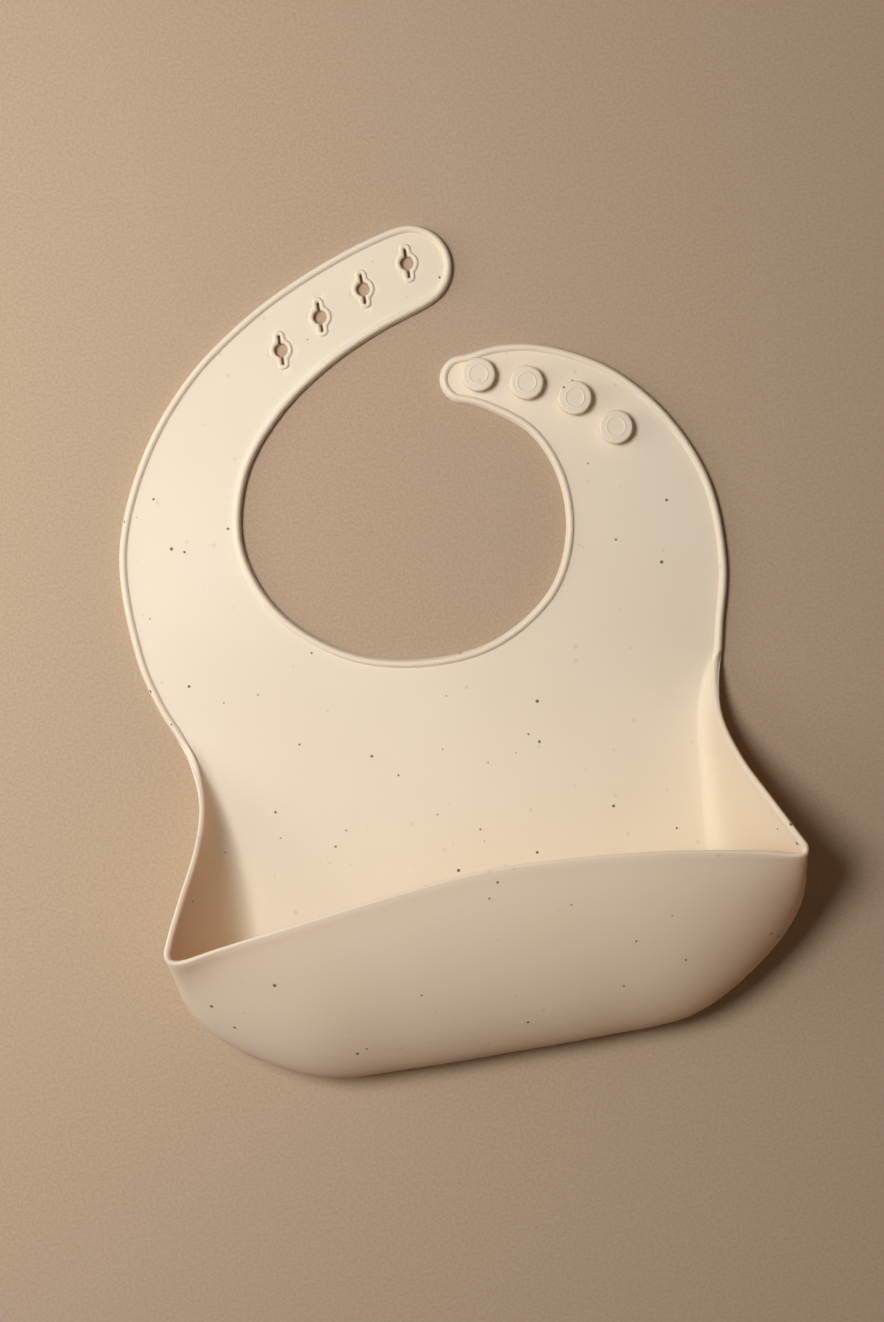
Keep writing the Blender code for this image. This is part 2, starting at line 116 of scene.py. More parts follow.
# Right half of the pocket, from above its start to the middle: each station's base, two handles and rim
POCKET_STATIONS = (
    ((92.6, 50.5), (94.6, 50.5), (96.6, 50.5, 0.0), (98.6, 50.5, 0.0)),
    ((90.5, 41.0), (92.5, 41.0), (94.5, 41.0, 0.0), (96.5, 41.0, 0.0)),
    ((83.8, 20.0), (87.4, 20.0), (88.8, 20.4, 5.2), (91.7, 21.0, 12.4)),
    ((81.6, 0.0), (86.8, 0.0), (89.3, 2.0, 10.5), (93.7, 5.6, 26.4)),
    ((79.8, -18.0), (85.8, -19.0), (90.4, -15.4, 15.0), (99.5, -9.0, 39.4)),
    ((79.0, -29.0), (87.4, -33.0), (95.0, -30.0, 19.0), (104.6, -20.2, 46.6)),
    ((79.0, -35.5), (99.0, -43.5), (104.0, -40.0, 25.0), (107.0, -26.2, 48.8)),
    ((77.5, -41.5), (110.3, -54.6), (108.8, -49.3, 30.0), (103.3, -28.6, 49.2)),
    ((71.0, -51.5), (106.3, -69.7), (103.0, -60.7, 34.0), (90.6, -25.2, 48.6)),
    ((50.0, -63.5), (72.2, -97.9), (69.7, -82.2, 36.0), (60.1, -20.2, 47.4)),
    ((25.0, -67.3), (36.5, -101.2), (35.1, -84.2, 37.0), (30.0, -17.5, 46.1)),
)
POCKET_MIDDLE = ((0.0, -68.0), (0.0, -101.5), (0.0, -84.2, 37.0), (0.0, -16.7, 45.6))

# How the bib lies differently on its left: each station's crease and rim further out, and its rim lower
LEFT_CREASE_OUT = (0.0, 0.8, 4.0, 4.2, 4.6, 4.0, 1.6, 1.2, 3.4, 2.6, 0.4)
LEFT_RIM_OUT = (1.2, 1.2, 1.2, 1.4, 1.7, 1.4, 0.5, 0.0, 0.0, 0.0, 0.0)
LEFT_RIM_SAG = (0.0, 0.0, 0.0, 0.0, 0.3, 0.6, 0.6, 1.0, 2.2, 3.0, 1.9)

# The stations where the pocket leaves the straps' edge, and how many it takes for the bead to fade out
FIRST_STATION = 1
LAST_STATION = 2 * len(POCKET_STATIONS) - 1
BEAD_FADE = 1.1

# The pocket's lip leans out slightly: how strongly and how far down, and over which stations from the middle
LIP_FLARE = 0.015
LIP_FLARE_DEPTH = 6.0
LIP_FLARE_REACH = 4.5
LIP_FLARE_FADE = 1.5

# Slots: a round hole with a slit above and below, and how much wider the skin is cut for the collar
SLOT_RADIUS = 2.4
SLIT_HALF_WIDTH = 0.5
SLIT_HALF_LENGTH = 5.3
SLOT_HOLE = 0.15

# Collars as distance out from the slot and height above the back
COLLAR_PROFILE = (
    (1.95, 1.60), (1.80, 2.00), (1.62, 2.32), (1.46, 2.60), (1.22, 2.78), (0.92, 2.84), (0.62, 2.82),
    (0.34, 2.72), (0.14, 2.52), (0.02, 2.20), (-0.03, 1.60), (-0.03, 0.60), (0.02, 0.22), (0.20, 0.06),
    (0.60, 0.30), (1.20, 0.80),
)

# Studs as radius and height above the back: a waisted stem, a rounded head and a plain raised ring on it
STUD_PROFILE = (
    (3.90, 1.40), (3.70, 2.00), (3.35, 2.22), (3.12, 2.60), (3.05, 3.20), (3.10, 3.70), (3.40, 3.95),
    (4.40, 4.02), (5.40, 4.05), (5.78, 4.18), (5.95, 4.46), (6.00, 4.90), (5.98, 5.50), (5.90, 5.92),
    (5.70, 6.22), (5.40, 6.38), (5.00, 6.42), (4.20, 6.42), (3.62, 6.42), (3.52, 6.45), (3.43, 6.53),
    (3.30, 6.57), (3.17, 6.53), (3.08, 6.45), (2.98, 6.42), (2.40, 6.42), (1.50, 6.42), (0.60, 6.42),
)
STUD_TURNS = 64

# Where the skin is cut: behind each joint's line, and beside the middle of the neck opening
FOLD_CUT_BEHIND = 0.4
SHOULDER_CUT_BEHIND = 10
SLOT_TAB_CUT_BEHIND = 8
STUD_TAB_CUT_BEHIND = 7
SLOT_STRAP_INNER = -20
STUD_STRAP_INNER = 30

# Colours as display values
CREAM = ((246, 233, 212), (243, 229, 206))
# Painted warm glow for the pocket walls turned away from the key light
CREAM_PAINTED_GLOW = (255, 212, 172)
CREAM_SUNK = (150, 146, 128)
INK = ((48, 38, 32), (110, 94, 80))
TABLE = ((188, 165, 140), (195, 174, 150))
BACKDROP = (184, 166, 145)
GLOW = (1.0, 0.60, 0.36, 1.0)

# The way from the key light's side to the other, in plan: walls turned this way get a painted warm glow,
# standing in for key light seen through the silicone
AWAY_FROM_KEY = (0.80, -0.60, 0.0)

# Room in metres, and camera in millimetres and degrees
TABLE_HALF = 3
ROOM_LIGHT_STEP = 2.1
ROOM_LIGHT_HEIGHT = 1.6
LENS = 50
SENSOR = 36
CAMERA_PLACE = (-1.5, 53.7, 650)
CAMERA_ROLL = -9.6


# Curves ------------------------------------------------------------------------------------------


def place(point):
    """A drawn point in millimetres as a point of the frame in metres."""
    out = []
    for k in range(3):
        share = (point[k] - DRAWN_LOW[k]) / (DRAWN_HIGH[k] - DRAWN_LOW[k])
        out.append(CAD_BOX[0][k] + share * (CAD_BOX[1][k] - CAD_BOX[0][k]))
    return Vector(out)


def polar(bearing, radius):
    """The drawn point at this bearing in degrees and radius about the neck opening."""
    angle = math.radians(bearing)
    return NECK + radius * Vector((math.cos(angle), math.sin(angle)))


def round_end(centre, radius, first, last):
    """Points round a strap's end, whose centre is given from the neck opening's, between two bearings."""
    return [NECK + centre + radius * Vector((math.cos(a), math.sin(a)))
            for a in np.radians(np.linspace(first, last, 9))]


def smooth_curve(knots, points):
    """A function of one parameter that passes through each point at its knot, without kinks."""
    slopes = [(points[i + 1] - points[i]) / (knots[i + 1] - knots[i]) for i in range(len(points) - 1)]
    tangents = [slopes[0]]
    for i in range(1, len(slopes)):
        before = knots[i] - knots[i - 1]
        after = knots[i + 1] - knots[i]
        tangents.append((slopes[i - 1] * after + slopes[i] * before) / (before + after))
    tangents.append(slopes[-1])

    def at(t):
        i = min(max(0, int(np.searchsorted(knots, t, side="right")) - 1), len(slopes) - 1)
        span = knots[i + 1] - knots[i]
        s = (t - knots[i]) / span
        start = (1 + 2 * s) * (1 - s) ** 2 * points[i] + s * (1 - s) ** 2 * span * tangents[i]
        end = s * s * (3 - 2 * s) * points[i + 1] + s * s * (s - 1) * span * tangents[i + 1]
        return start + end

    return at


def chord_knots(points):
    """Knots spaced by the square root of each gap, which keeps a curve from overshooting."""
    knots = [0.0]
    for a, b in zip(points, points[1:]):
        knots.append(knots[-1] + math.sqrt((b - a).length))
    return knots


def evenly(points, step):
    """The same path with its points this far apart."""
    points = np.array(points, float)
    lengths = np.concatenate([[0], np.cumsum(np.linalg.norm(np.diff(points, axis=0), axis=1))])
    wanted = np.linspace(0, lengths[-1], max(2, round(lengths[-1] / step)) + 1)
    return np.stack([np.interp(wanted, lengths, points[:, k]) for k in range(points.shape[1])], axis=1)


def pocket_stations():
    """Every station's base, handles and rim, from the right of the pocket round its front to the left."""
    stations = [[Vector((*p, 0.0)[:3]) for p in station] for station in POCKET_STATIONS + (POCKET_MIDDLE,)]
    for i in range(len(POCKET_STATIONS) - 1, -1, -1):
        left = [Vector((-p.x, p.y, p.z)) for p in stations[i]]
        left[0].x -= LEFT_CREASE_OUT[i] * 0.3
        left[1].x -= LEFT_CREASE_OUT[i]
        left[2].x -= LEFT_CREASE_OUT[i]
        left[3] -= Vector((LEFT_RIM_OUT[i], LEFT_RIM_SAG[i], 0))
        stations.append(left)
    return stations


def edge_path():
    """The bib's edge from the pocket's right start, over both straps, to its left start."""
    rims = [station[3].xy for station in pocket_stations()]
    points = [rims[FIRST_STATION + 1], rims[FIRST_STATION]]
    points += [polar(*spot) for spot in STUD_SIDE_EDGE]
    points += round_end(*STUD_CAP)
    points += [polar(*spot) for spot in NECK_EDGE]
    points += round_end(*SLOT_CAP)
    points += [polar(*spot) for spot in SLOT_SIDE_EDGE]
    points += [rims[LAST_STATION], rims[LAST_STATION - 1]]
    knots = chord_knots(points)
    at = smooth_curve(knots, points)
    return evenly([at(t) for t in np.linspace(knots[1], knots[-2], 4000)], EDGE_STEP)


def ease(t):
    """0 below 0, 1 above 1, smooth between."""
    t = min(1.0, max(0.0, t))
    return t * t * (3 - 2 * t)


def pocket_surface():
    """The pocket's outer face: a function from station number and height shares to points."""
    rows = list(zip(*pocket_stations()))
    knots = chord_knots(rows[1])
    curves = [smooth_curve(knots, row) for row in rows]

    def at(station, shares):
        i = min(int(station), len(knots) - 2)
        t = knots[i] + (station - i) * (knots[i + 1] - knots[i])
        base, lower, upper, rim = (np.array(curve(t)) for curve in curves)
        v = np.array(shares, float)[:, None]
        w = 1 - v
        return w ** 3 * base + 3 * v * w * w * lower + 3 * v * v * w * upper + v ** 3 * rim

    return at


# The skin ----------------------------------------------------------------------------------------


def flat_section(edge, inward):
    """One section across the flat sheet's border, from its front face round the bead to its back."""
    depths = np.linspace(INSET, EDGE_BAND, WALL_ROWS, endpoint=False)
    outline = [(d, SHEET) for d in depths] + list(STRAP_PROFILE) + [(d, 0.0) for d in depths[::-1]]
    return [np.array([*(edge + inward * depth), height]) for depth, height in outline]


def pocket_section(surface, station):
    """One section of the pocket wall, from the front face at its base over the rim to the back face."""
    shares = np.linspace(0, 1, WALL_SAMPLES)
    line = surface(station, shares)
    beside = surface(station + 0.01, shares) - surface(station - 0.01, shares)
    upward = np.gradient(line, axis=0)
    normals = np.cross(beside, upward)
    normals /= np.linalg.norm(normals, axis=1)[:, None]
    normals[0] = (0, 0, 1)
    lengths = np.concatenate([[0], np.cumsum(np.linalg.norm(np.diff(line, axis=0), axis=1))])

    def at(depth, height):
        where = lengths[-1] - depth
        share = np.interp(where, lengths, shares) * (len(shares) - 1)
        point = np.array([np.interp(share, range(len(shares)), line[:, k]) for k in range(3)])
        normal = np.array([np.interp(share, range(len(shares)), normals[:, k]) for k in range(3)])
        if depth < 0:
            point -= depth * upward[-1] / np.linalg.norm(upward[-1])
        return point + normal * height

    from_start = min(station - FIRST_STATION, LAST_STATION - station)
    fade = ease(from_start / BEAD_FADE)
    depths = np.linspace(lengths[-1], EDGE_BAND, WALL_ROWS, endpoint=False)
    rim = [
        ((1 - fade) * a[0] + fade * b[0], (1 - fade) * a[1] + fade * b[1])
        for a, b in zip(STRAP_PROFILE, RIM_PROFILE)
    ]
    outline = [(d, SHEET) for d in depths] + rim + [(d, 0.0) for d in depths[::-1]]
    middle = (FIRST_STATION + LAST_STATION) / 2
    flare = LIP_FLARE * ease((LIP_FLARE_REACH - abs(station - middle)) / LIP_FLARE_FADE)
    return [at(d, height - flare * max(0.0, LIP_FLARE_DEPTH - d) ** 2) for d, height in outline]


def skin_sections():
    """Every section round the bib's whole edge, as an array of section, row and coordinate."""
    path = edge_path()
    along = np.gradient(path, axis=0)
    inward = np.stack([-along[:, 1], along[:, 0]], axis=1)
    inward /= np.linalg.norm(inward, axis=1)[:, None]
    sections = [flat_section(p, n) for p, n in zip(path, inward)]
    surface = pocket_surface()
    stations = np.linspace(FIRST_STATION, LAST_STATION, 2000)
    rims = np.array([surface(s, [0.75])[0] for s in stations])
    lengths = np.concatenate([[0], np.cumsum(np.linalg.norm(np.diff(rims, axis=0), axis=1))])
    count = round(lengths[-1] / EDGE_STEP)
    picked = np.interp(np.linspace(0, lengths[-1], count + 1), lengths, stations)
    sections += [pocket_section(surface, s) for s in picked[::-1][1:-1]]
    return np.array(sections)


def inside(points, loop):
    """Which points lie inside a closed loop."""
    x, y = points[:, 0][:, None], points[:, 1][:, None]
    a, b = loop, np.roll(loop, -1, axis=0)
    spans = (a[:, 1] > y) != (b[:, 1] > y)
    with np.errstate(divide="ignore", invalid="ignore"):
        cross = a[:, 0] + (y - a[:, 1]) * (b[:, 0] - a[:, 0]) / (b[:, 1] - a[:, 1])
    return (spans & (x < cross)).sum(axis=1) % 2 == 1


def filled(outline, holes):
    """Points and triangles that fill a flat outline with holes, in nearly even triangles."""
    low, high = outline.min(0), outline.max(0)
    xs = np.arange(low[0], high[0], FILL_STEP)
    ys = np.arange(low[1], high[1], FILL_STEP * math.sqrt(3) / 2)
    grid = np.array([(x + (row % 2) * FILL_STEP / 2, y) for row, y in enumerate(ys) for x in xs])
    grid = grid[inside(grid, outline)]
    for hole in holes:
        grid = grid[~inside(grid, hole)]
    border = np.concatenate([outline] + holes)
    gaps = np.sqrt(((grid[:, None, :] - border[None, :, :]) ** 2).sum(-1)).min(1)
    grid = grid[gaps > FILL_STEP * 0.45]
    points = np.concatenate([border, grid])
    edges = []
    first = 0
    for loop in [outline] + holes:
        edges += [(first + i, first + (i + 1) % len(loop)) for i in range(len(loop))]
        first += len(loop)
    verts, _, faces, *_ = delaunay_2d_cdt([Vector(p) for p in points], edges, [], 0, 1e-6)
    verts = np.array(verts)
    faces = np.array([f for f in faces if len(f) == 3])
    middles = verts[faces].mean(1)
    keep = inside(middles, outline)
    for hole in holes:
        keep &= ~inside(middles, hole)
    return verts, faces[keep]


def sway(points):
    """How far the soft sheet lies off the table, in millimetres, at each plan point."""
    x, y = points[:, 0], points[:, 1]
    wave = np.sin(x * 0.045 + 0.6) * np.cos(y * 0.031 - 0.4) + 0.6 * np.sin(x * 0.021 - y * 0.052 + 1.9)
    return SWAY * (wave + 1.6)


def bridge(bm, a, b):
    """A band of faces between two closed loops of vertices."""
    for i in range(len(a)):
        j = (i + 1) % len(a)
        bm.faces.new((a[i], a[j], b[j], b[i]))


def build_skin(holes):
    """The whole moulded skin as one closed bmesh, in millimetres."""
    sections = skin_sections()
    count, rows, _ = sections.shape
    bm = bmesh.new()
    grid = [[bm.verts.new(p) for p in section] for section in sections]
    for i in range(count):
        j = (i + 1) % count
        for k in range(rows - 1):
            bm.faces.new((grid[i][k], grid[i][k + 1], grid[j][k + 1], grid[j][k]))
    verts, faces = filled(sections[:, 0, :2], holes)
    for height in (SHEET, 0.0):
        points = [bm.verts.new((v[0], v[1], height)) for v in verts]
        for face in faces:
            bm.faces.new([points[i] for i in face])
    for hole in holes:
        bridge(bm, *([bm.verts.new((*p, height)) for p in hole] for height in (SHEET, 0.0)))
    bmesh.ops.remove_doubles(bm, verts=bm.verts, dist=1e-3)
    return bm


def keyhole(offset):
    """The keyhole outline grown by this offset: a round hole with a slit above and below."""
    radius = SLOT_RADIUS + offset
    half_width = SLIT_HALF_WIDTH + offset
    half_length = SLIT_HALF_LENGTH + offset
    meeting = math.acos(half_width / radius)
    outline = []
    for turn in (0.0, math.pi):
        for k in range(11):
            angle = turn - meeting + 2 * meeting * k / 10
            outline.append((radius * math.cos(angle), radius * math.sin(angle)))
        middle = (half_length - half_width) * math.cos(turn)
        for k in range(1, 10):
            angle = turn + math.pi * k / 10
            outline.append((half_width * math.cos(angle), middle + half_width * math.sin(angle)))
    return np.array(outline)


def node_centre(node):
    """The middle of a CAD node's box, in millimetres."""
    low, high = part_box(node)
    return (low + high) / 2 / MM


def collar_mesh(centre):
    """A collar with rounded shoulders, whose inside lines the slot through the sheet."""
    bm = bmesh.new()
    loops = [[bm.verts.new((*(p + centre[:2]), z)) for p in keyhole(offset)] for offset, z in COLLAR_PROFILE]
    for a, b in zip(loops, loops[1:] + loops[:1]):
        bridge(bm, a, b)
    return bm


def stud_mesh(centre):
    """A mushroom stud, turned round its own axis and closed at both ends."""
    bm = bmesh.new()
    turns = np.linspace(0, 2 * math.pi, STUD_TURNS, endpoint=False)
    loops = [
        [bm.verts.new((centre[0] + r * math.cos(a), centre[1] + r * math.sin(a), z)) for a in turns]
        for r, z in STUD_PROFILE
    ]
    for a, b in zip(loops, loops[1:]):
        bridge(bm, a, b)
    bm.faces.new(loops[0])
    bm.faces.new(loops[-1])
    return bm


def settle(bm):
    """Lays a bmesh on the softly swaying sheet and turns it into metres."""
    points = np.array([v.co for v in bm.verts])
    for vert, lift in zip(bm.verts, sway(points)):
        vert.co = place(vert.co + Vector((0, 0, lift)))


def make_piece(name, bm, material):
    """A smooth object from a bmesh, which remembers where each of its points lies at rest."""
    bmesh.ops.recalc_face_normals(bm, faces=bm.faces)
    mesh = bpy.data.meshes.new(name)
    bm.to_mesh(mesh)
    bm.free()
    mesh.shade_smooth()
    points = np.zeros(3 * len(mesh.vertices), np.float32)
    mesh.vertices.foreach_get("co", points)
    mesh.attributes.new("rest_place", "FLOAT_VECTOR", "POINT").data.foreach_set("vector", points)
    mesh.materials.append(material)
    piece = bpy.data.objects.new(name, mesh)
    bpy.context.scene.collection.objects.link(piece)
    return piece


# Materials ---------------------------------------------------------------------------------------


class Nodes:
    """Short calls for building one material's node tree."""

    def __init__(self, name):
        self.material = bpy.data.materials.new(name)
        self.material.use_nodes = True
        self.tree = self.material.node_tree
        self.shader = self.tree.nodes["Principled BSDF"]

    def add(self, kind, **settings):
        node = self.tree.nodes.new(kind)
        for key, value in settings.items():
            setattr(node, key, value)
        return node

    def put(self, source, target):
        """Sets an input to a value, or links it to another node's output."""
        if isinstance(source, bpy.types.NodeSocket):
            self.tree.links.new(source, target)
        else:
            target.default_value = source

    def math(self, operation, a, b):
        node = self.add("ShaderNodeMath", operation=operation)
        self.put(a, node.inputs[0])
        self.put(b, node.inputs[1])
        return node.outputs[0]

    def multiply_add(self, value, factor, offset):
        result = self.math("MULTIPLY_ADD", value, factor)
        result.node.inputs[2].default_value = offset
        return result

    def mix(self, share, a, b):
        node = self.add("ShaderNodeMix", data_type="RGBA")
        self.put(share, node.inputs[0])
        self.put(a, node.inputs[6])
        self.put(b, node.inputs[7])
        return node.outputs[2]

    def steps(self, value, low, high):
        """0 below low, 1 above high, eased between."""
        node = self.add("ShaderNodeMapRange", interpolation_type="SMOOTHSTEP")
        self.put(value, node.inputs["Value"])
        node.inputs["From Min"].default_value = low
        node.inputs["From Max"].default_value = high
        return node.outputs["Result"]

    def noise(self, where, scale, detail):
        node = self.add("ShaderNodeTexNoise")
        self.put(where, node.inputs["Vector"])
        node.inputs["Scale"].default_value = scale
        node.inputs["Detail"].default_value = detail
        return node.outputs["Fac"]


def srgb(red, green, blue):
    """A colour given as 0 to 255 display values."""
    linear = [((c / 255 + 0.055) / 1.055) ** 2.4 if c > 10 else c / 255 / 12.92 for c in (red, green, blue)]
    return (*linear, 1.0)


def specks(nodes, where, spacing, radius, kept):
    """1 inside scattered grains of this spacing and radius in metres, and a random tone for each grain.

    Only this share of the grains is kept.
    """
    cells = nodes.add("ShaderNodeTexVoronoi", feature="F1")
    nodes.put(where, cells.inputs["Vector"])
    cells.inputs["Scale"].default_value = 1 / spacing
    chance = nodes.add("ShaderNodeSeparateColor")
    nodes.put(cells.outputs["Color"], chance.inputs[0])
    size = nodes.multiply_add(chance.outputs[0], 0.6, 0.5)
    scaled = nodes.math("DIVIDE", cells.outputs["Distance"], size)
    grain = nodes.steps(scaled, radius * 1.15 / spacing, radius * 0.75 / spacing)
    shown = nodes.math("LESS_THAN", chance.outputs[1], kept)
    return nodes.math("MULTIPLY", grain, shown), chance.outputs[2]


def standing(nodes, coords, low, high):
    """0 where the silicone lies flat, and 1 in the pocket's walls, rising between these heights in metres.

    It ends short of the cut at the chest's fold, so nothing changes along that cut.
    """
    place_in = nodes.add("ShaderNodeSeparateXYZ")
    nodes.put(coords, place_in.inputs[0])
    raised = nodes.steps(place_in.outputs["Z"], low, high)
    return nodes.math("MULTIPLY", raised, nodes.steps(place_in.outputs["Y"], 0.040, 0.030))


def silicone():
    """Matte speckled silicone: a warm cream with faint clouding, dark grains, a fine moulded grain and a
    painted warm glow on the walls turned away from the key light.
    """
    nodes = Nodes("speckled_silicone")
    coords = nodes.add("ShaderNodeAttribute", attribute_name="rest_place").outputs["Vector"]
    cloud = nodes.noise(coords, 14.0, 3.0)
    cream = nodes.mix(nodes.steps(cloud, 0.3, 0.7), srgb(*CREAM[0]), srgb(*CREAM[1]))
    shifted = nodes.add("ShaderNodeVectorMath", operation="ADD")
    nodes.put(coords, shifted.inputs[0])
    shifted.inputs[1].default_value = (0.37, 0.11, 0.23)
    faint, _ = specks(nodes, shifted.outputs[0], spacing=0.0080, radius=0.0008, kept=0.8)
    dark, tone = specks(nodes, coords, spacing=0.0074, radius=0.0006, kept=0.7)
    ink = nodes.mix(tone, srgb(*INK[0]), srgb(*INK[1]))
    # Painted warm glow: walls turned away from the key light are tinted warmer, standing in for light seen
    # through the silicone; the same mask also raises the translucent share
    turned = nodes.add("ShaderNodeVectorMath", operation="DOT_PRODUCT")
    nodes.put(nodes.add("ShaderNodeNewGeometry").outputs["Normal"], turned.inputs[0])
    turned.inputs[1].default_value = AWAY_FROM_KEY
    painted_glow_side = nodes.steps(turned.outputs["Value"], -0.25, 0.80)
    painted_glow_side = nodes.math("MULTIPLY", painted_glow_side, standing(nodes, coords, 0.0025, 0.008))
    cream = nodes.mix(nodes.math("MULTIPLY", painted_glow_side, 0.28), cream, srgb(*CREAM_PAINTED_GLOW))
    sunk = nodes.mix(nodes.math("MULTIPLY", faint, 0.16), cream, srgb(*CREAM_SUNK))
    colour = nodes.mix(nodes.math("MULTIPLY", dark, 0.88), sunk, ink)
    nodes.put(colour, nodes.shader.inputs["Base Color"])
    grain = nodes.noise(coords, 2600.0, 2.0)
    nodes.put(nodes.multiply_add(grain, 0.10, 0.50), nodes.shader.inputs["Roughness"])
    bump = nodes.add("ShaderNodeBump")
    bump.inputs["Strength"].default_value = 0.10
    bump.inputs["Distance"].default_value = 0.0001
    nodes.put(grain, bump.inputs["Height"])
    nodes.put(bump.outputs["Normal"], nodes.shader.inputs["Normal"])
    nodes.shader.inputs["IOR"].default_value = 1.41
    nodes.shader.inputs["Specular IOR Level"].default_value = 0.4
    glow = nodes.add("ShaderNodeBsdfTranslucent")
    glow.inputs["Color"].default_value = GLOW
    both = nodes.add("ShaderNodeMixShader")
    share = nodes.multiply_add(painted_glow_side, 0.08, 0.10)
    nodes.put(nodes.math("MULTIPLY", standing(nodes, coords, 0.004, 0.014), share), both.inputs[0])
    nodes.put(nodes.shader.outputs[0], both.inputs[1])
    nodes.put(glow.outputs[0], both.inputs[2])
    nodes.put(both.outputs[0], nodes.tree.nodes["Material Output"].inputs["Surface"])
    return nodes.material


def floor_material():
    """A plain pale table with a faint fibre."""
    nodes = Nodes("pale_table")
    coords = nodes.add("ShaderNodeTexCoord").outputs["Object"]
    fibre = nodes.noise(coords, 900.0, 4.0)
    colour = nodes.mix(nodes.steps(fibre, 0.35, 0.65), srgb(*TABLE[0]), srgb(*TABLE[1]))
    nodes.put(colour, nodes.shader.inputs["Base Color"])
    nodes.shader.inputs["Roughness"].default_value = 0.9
    nodes.shader.inputs["Specular IOR Level"].default_value = 0.2
    return nodes.material


# Cutting the skin --------------------------------------------------------------------------------


def joint_named(name):
    return next(joint for joint in frame["joints"] if joint["name"] == name)


def hinge(name):
    """A joint's point, and the direction across its line that leads to its moving side."""
    joint = joint_named(name)
    axis = Vector(joint["axis"])
    return Vector(joint["pos_m"]), Vector((-axis.y, axis.x, 0)).normalized()


def cut(bm, point, normal):
    """Keeps the side that the normal points to, and closes the cut with a flat face."""
    everything = list(bm.verts) + list(bm.edges) + list(bm.faces)
    found = bmesh.ops.bisect_plane(
        bm, geom=everything, dist=1e-7, plane_co=point, plane_no=normal, clear_inner=True)
    rim = [g for g in found["geom_cut"] if isinstance(g, bmesh.types.BMEdge)]
    caps = bmesh.ops.holes_fill(bm, edges=[e for e in rim if e.is_boundary], sides=0)["faces"]
    for cap in caps:
        cap.smooth = False
        for edge in cap.edges:
            edge.smooth = False


def skin_piece(name, skin, material, sides):
    """A copy of the skin that keeps one side of each plane. A side is a point and the way to keep."""
    bm = skin.copy()
    for point, normal in sides:
        cut(bm, Vector(point), Vector(normal))
    return make_piece(name, bm, material)


def bend(piece, name):
    """Bakes the piece's placement into its mesh. It looks up the joint's point and line, but does not use
    them.
    """
    point, across = hinge(name)
    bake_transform(piece)


def nodes_of(*bodies):
    """The CAD nodes of these bodies, without the features that have a piece of their own."""
    listed = frame["record"]["behaviour"]["bodies"]
    return [node for body in bodies for node in listed[body] if node not in COLLARS + STUDS]


# Building ----------------------------------------------------------------------------------------

SILICONE = silicone()
COLLARS = [f"slot_collar_{i}" for i in range(1, 5)]
STUDS = [f"stud_{i}" for i in range(1, 5)]

skin = build_skin([keyhole(SLOT_HOLE) + np.array(node_centre(name)[:2]) for name in COLLARS])
settle(skin)

FOLD, _ = hinge("chest_fold")
SHOULDER, _ = hinge("slot_strap_bend")
SLOT_TAB, SLOT_WAY = hinge("slot_tab_bend")
STUD_TAB, _ = hinge("stud_tab_bend")
UP = Vector((0, 1, 0))
RIGHT = Vector((1, 0, 0))
FOLD_CUT = FOLD - UP * FOLD_CUT_BEHIND * MM
SHOULDER_CUT = SHOULDER - UP * SHOULDER_CUT_BEHIND * MM
SLOT_CUT = SLOT_TAB - SLOT_WAY * SLOT_TAB_CUT_BEHIND * MM
STUD_CUT = STUD_TAB - UP * STUD_TAB_CUT_BEHIND * MM
LEFT_OF_NECK = SLOT_STRAP_INNER * MM * RIGHT
RIGHT_OF_NECK = STUD_STRAP_INNER * MM * RIGHT
MIDDLE = 0 * RIGHT

# The plane that parts the two tabs, whose ends come close to each other above the neck opening
BETWEEN_TABS = place((*(NECK + Vector((-30, 30))), 0))
TO_SLOT_TAB = Vector((-50, 90, 0)).normalized()

pocket = skin_piece("catch_pocket", skin, SILICONE, [(FOLD_CUT, -UP)])
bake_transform(pocket)
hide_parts(*nodes_of("pocket_panel", "pocket_front"))

yoke = skin_piece("yoke", skin, SILICONE, [(FOLD_CUT, UP), (SHOULDER_CUT, -UP)])
bend(yoke, "chest_fold")
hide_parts(*nodes_of("yoke"))

slot_strap = skin_piece(
    "slot_strap", skin, SILICONE, [(SHOULDER_CUT, UP), (LEFT_OF_NECK, -RIGHT), (SLOT_CUT, -SLOT_WAY)])
bend(slot_strap, "slot_strap_bend")
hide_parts(*nodes_of("slot_strap"))

slot_tab = skin_piece("slot_tab", skin, SILICONE, [(SLOT_CUT, SLOT_WAY), (BETWEEN_TABS, TO_SLOT_TAB)])
bend(slot_tab, "slot_tab_bend")
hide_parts(*nodes_of("slot_tab"))

stud_strap = skin_piece(
    "stud_strap", skin, SILICONE, [(SHOULDER_CUT, UP), (RIGHT_OF_NECK, RIGHT), (STUD_CUT, -UP)])
bend(stud_strap, "stud_strap_bend")
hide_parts(*nodes_of("stud_strap"))

stud_tab = skin_piece(
    "stud_tab", skin, SILICONE, [(STUD_CUT, UP), (MIDDLE, RIGHT), (BETWEEN_TABS, -TO_SLOT_TAB)])
bend(stud_tab, "stud_tab_bend")
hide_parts(*nodes_of("stud_tab"))
skin.free()

for names, shape, body in ((COLLARS, collar_mesh, "slot_tab"), (STUDS, stud_mesh, "stud_tab")):
    for name in names:
        bm = shape(node_centre(name))
        settle(bm)
        piece = make_piece(f"{name}_moulded", bm, SILICONE)
        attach(piece, body)
        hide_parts(name)


# Floor, light and camera -------------------------------------------------------------------------

scene = bpy.context.scene
scene.view_settings.view_transform = "Standard"

floor_mesh = bpy.data.meshes.new("floor")
corners = [(x * TABLE_HALF, y * TABLE_HALF, 0) for x, y in ((-1, -1), (1, -1), (1, 1), (-1, 1))]
floor_mesh.from_pydata(corners, [], [(0, 1, 2, 3)])
floor_mesh.materials.append(floor_material())
floor = bpy.data.objects.new("floor", floor_mesh)
scene.collection.objects.link(floor)


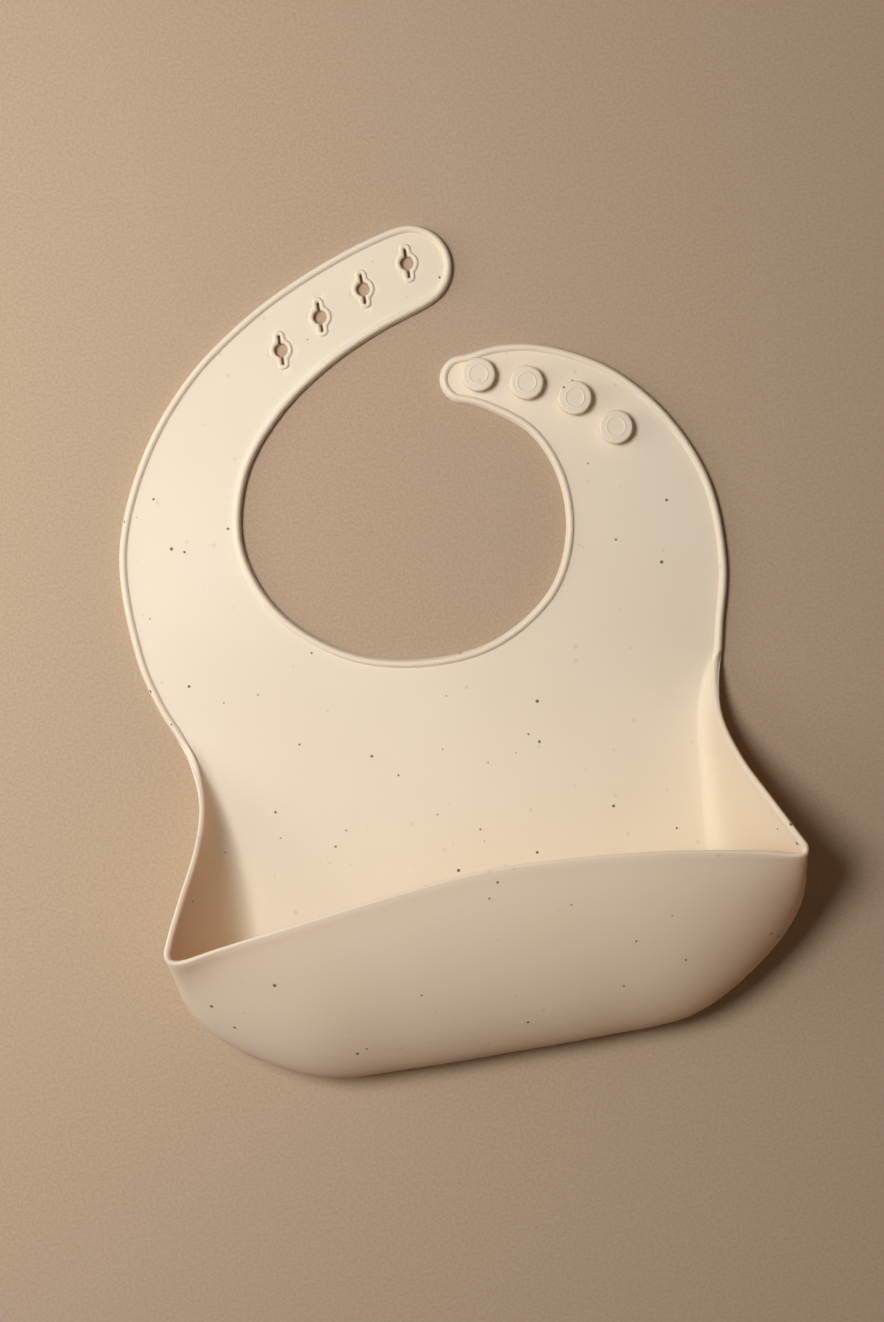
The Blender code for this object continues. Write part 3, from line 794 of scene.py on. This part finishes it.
def soft_light(name, stand, aim, size, watts, colour, spread=180):
    """A round lamp of this size in metres and spread in degrees, which the camera doesn't see."""
    lamp = bpy.data.lights.new(name, "AREA")
    lamp.shape = "DISK"
    lamp.size = size
    lamp.energy = watts
    lamp.spread = math.radians(spread)
    lamp.color = colour
    holder = bpy.data.objects.new(name, lamp)
    scene.collection.objects.link(holder)
    holder.location = stand
    holder.visible_camera = False
    holder.rotation_euler = (Vector(aim) - Vector(stand)).to_track_quat("-Z", "Y").to_euler()


soft_light("key", (-0.30, 0.21, 0.68), (-0.34, 0.11, 0), 0.30, 4.5, (1.0, 0.985, 0.955))
soft_light("fill", (-1.0, 0.30, 0.42), (0, 0.03, 0), 0.7, 3.4, (1.0, 0.95, 0.88))
for y in (-ROOM_LIGHT_STEP, 0.0, ROOM_LIGHT_STEP):
    for x in (-ROOM_LIGHT_STEP, 0.0, ROOM_LIGHT_STEP):
        if x or y:
            soft_light("room", (x, y, ROOM_LIGHT_HEIGHT), (x, y, 0), 2.0, 10.0, (1.0, 0.96, 0.91), spread=80)

world = bpy.data.worlds.new("studio")
world.use_nodes = True
sky = world.node_tree.nodes["Background"]
sky.inputs["Color"].default_value = (1.0, 0.58, 0.32, 1.0)
sky.inputs["Strength"].default_value = 0.08
backdrop = world.node_tree.nodes.new("ShaderNodeBackground")
backdrop.inputs["Color"].default_value = srgb(*BACKDROP)
seen = world.node_tree.nodes.new("ShaderNodeLightPath")
either = world.node_tree.nodes.new("ShaderNodeMixShader")
links = world.node_tree.links
links.new(seen.outputs["Is Camera Ray"], either.inputs[0])
links.new(sky.outputs[0], either.inputs[1])
links.new(backdrop.outputs[0], either.inputs[2])
links.new(either.outputs[0], world.node_tree.nodes["World Output"].inputs["Surface"])
scene.world = world

lens = bpy.data.cameras.new("camera")
lens.lens = LENS
lens.sensor_width = SENSOR
camera = bpy.data.objects.new("camera", lens)
scene.collection.objects.link(camera)
camera.location = [c * MM for c in CAMERA_PLACE]
camera.rotation_euler = (0, 0, math.radians(CAMERA_ROLL))
scene.camera = camera
